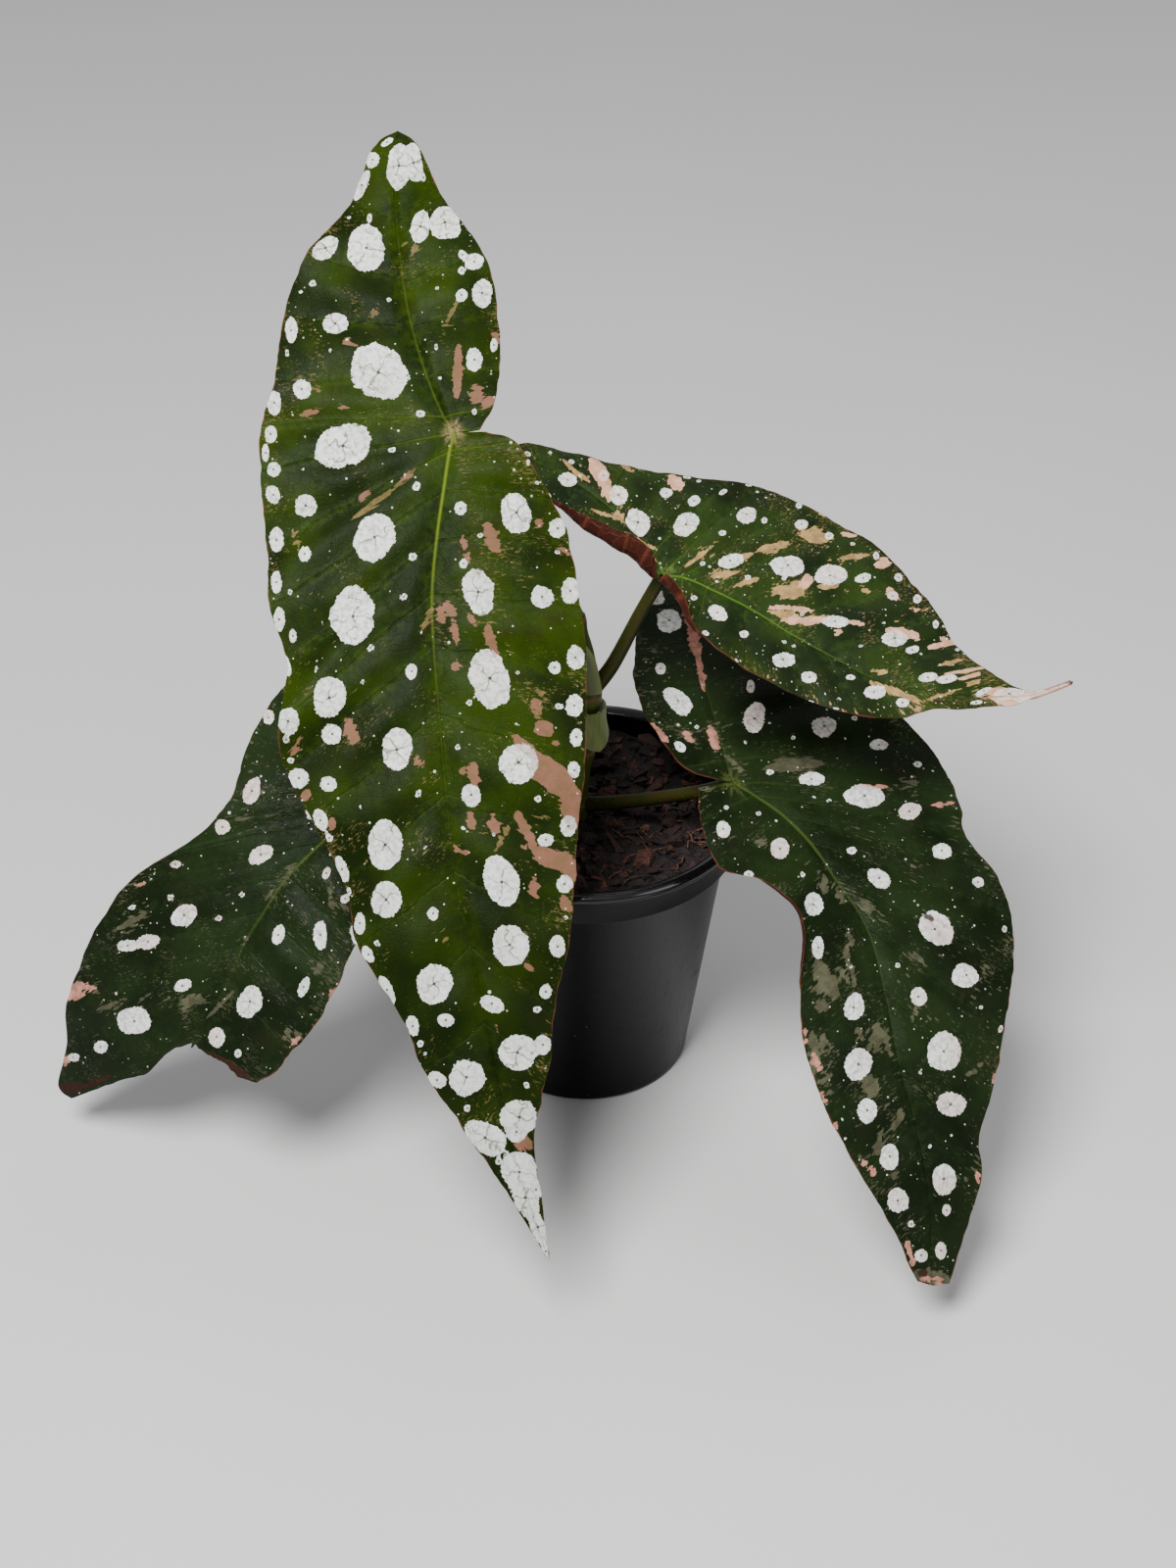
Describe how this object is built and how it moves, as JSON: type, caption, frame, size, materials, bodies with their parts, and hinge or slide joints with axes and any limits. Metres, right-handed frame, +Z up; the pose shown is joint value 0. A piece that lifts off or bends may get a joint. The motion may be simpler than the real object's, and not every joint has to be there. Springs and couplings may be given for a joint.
{
  "type": "potted polka dot begonia",
  "caption": "Young cane begonia with long lopsided silver-spotted leaves on thin stalks, standing in bark mix in a round tapered nursery pot.",
  "frame": {"origin": "centre of the pot's flat underside, on the surface that it stands on", "axes": "+Z up along the pot's axis, +X to the right of the plant's best side, -Y towards somebody who looks at that side"},
  "size_m": [0.2663, 0.1842, 0.2438],
  "materials": {
    "pot_plastic": "thin moulded black plastic, satin",
    "potting_mix": "rough reddish-brown bark chips and coir",
    "cane_green": "smooth olive-green stem, slightly glossy",
    "petiole_green": "smooth olive leaf stalk with a reddish tint",
    "stipule_green": "thin papery pale green sheath",
    "blade_green": "green leaf with silver-white spots and pink flecks, satin above, wine red below"
  },
  "bodies": {
    "root": {"pot": "pot_plastic", "potting_mix": "potting_mix", "cane": "cane_green", "stipule_lower": "stipule_green", "stipule_upper": "stipule_green", "petiole_front": "petiole_green", "petiole_right": "petiole_green", "petiole_lower_right": "petiole_green", "petiole_lower_left": "petiole_green", "blade_front": "blade_green", "blade_right": "blade_green", "blade_lower_right": "blade_green", "blade_lower_left": "blade_green"}
  },
  "joints": []
}
